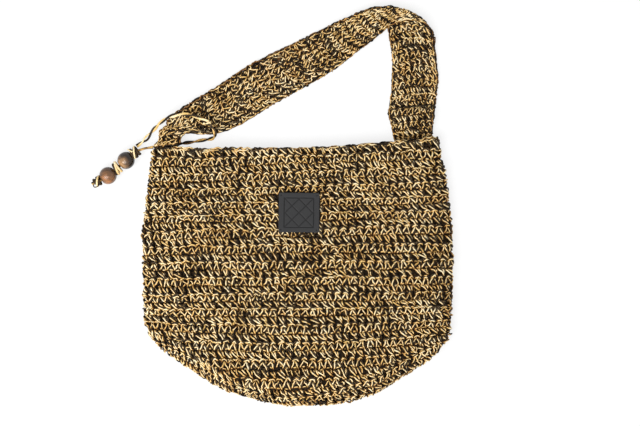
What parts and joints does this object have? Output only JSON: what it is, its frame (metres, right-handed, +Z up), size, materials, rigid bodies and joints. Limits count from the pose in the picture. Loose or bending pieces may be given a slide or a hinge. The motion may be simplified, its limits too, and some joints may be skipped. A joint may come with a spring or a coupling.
{
  "type": "crochet bucket bag",
  "caption": "Crocheted two-colour bucket bag lying on its back, with an oval base, a folded shoulder strap, a small square patch and a beaded tie.",
  "frame": {"origin": "centre of the bag and strap's footprint, on the surface that the bag lies on", "axes": "+Z up out of the bag's front, +Y from the base to the mouth and strap, +X to the wearer's right when the front faces up"},
  "size_m": [0.3635, 0.3993, 0.0451],
  "materials": {
    "crocheted_yarn": "two strands of raffia yarn held together, one straw gold and one near black, with a soft sheen",
    "tie_yarn": "flat raffia strands, one straw gold and one near black",
    "patch_rubber": "matt charcoal rubber with an engraved frame",
    "bead_wood_dark": "polished dark olive-brown wood",
    "bead_wood_red": "polished reddish-brown wood"
  },
  "bodies": {
    "root": {"bag_body": "crocheted_yarn", "strap": "crocheted_yarn", "patch": "patch_rubber", "tie_short_leg": "tie_yarn", "tie_long_leg": "tie_yarn", "knot_top": "tie_yarn", "knot_middle": "tie_yarn", "knot_end": "tie_yarn", "bead_upper": "bead_wood_dark", "bead_lower": "bead_wood_red"}
  },
  "joints": []
}
